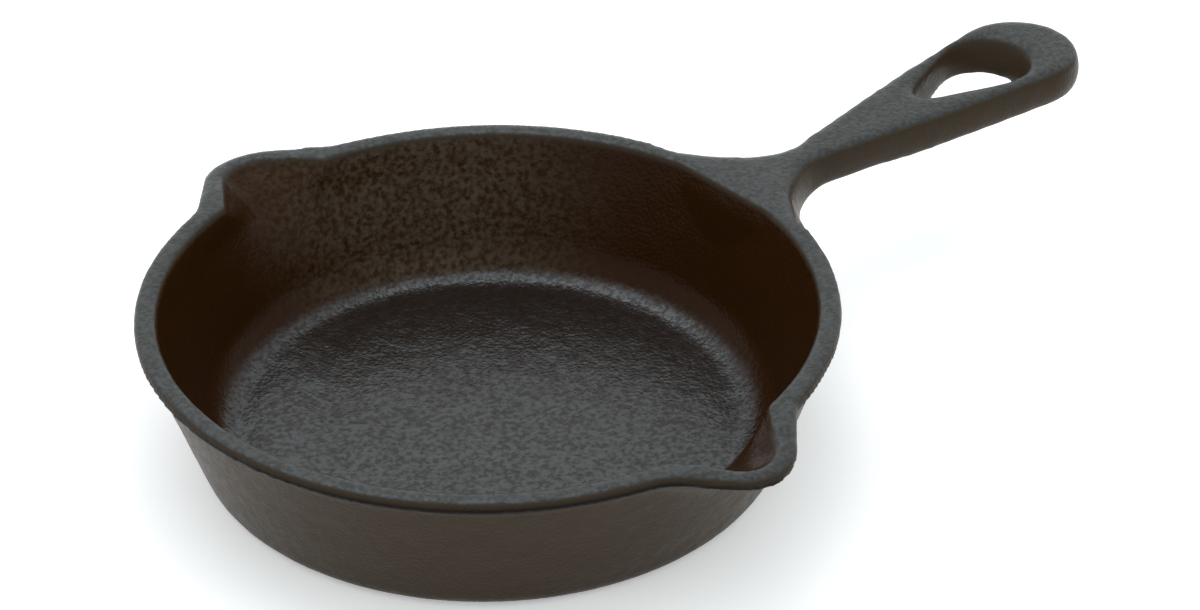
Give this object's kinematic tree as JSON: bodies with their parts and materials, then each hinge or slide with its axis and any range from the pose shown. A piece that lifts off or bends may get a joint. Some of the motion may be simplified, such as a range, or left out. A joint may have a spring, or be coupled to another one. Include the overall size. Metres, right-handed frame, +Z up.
{
  "type": "cast iron skillet",
  "caption": "Small round cast iron skillet with a drafted wall, opposed pour lips and a flat handle with a teardrop hanging hole.",
  "frame": {"origin": "centre of the flat underside, on the axis of the round pan", "axes": "+X along the handle, +Z up out of the pan, and the two pour lips point along +Y and -Y"},
  "size_m": [0.2739, 0.1896, 0.0383],
  "materials": {
    "seasoned_iron": "pebbled sand-cast surface with a dark baked-oil seasoning, satin"
  },
  "bodies": {
    "root": {"pan": "seasoned_iron", "handle": "seasoned_iron"}
  },
  "joints": []
}
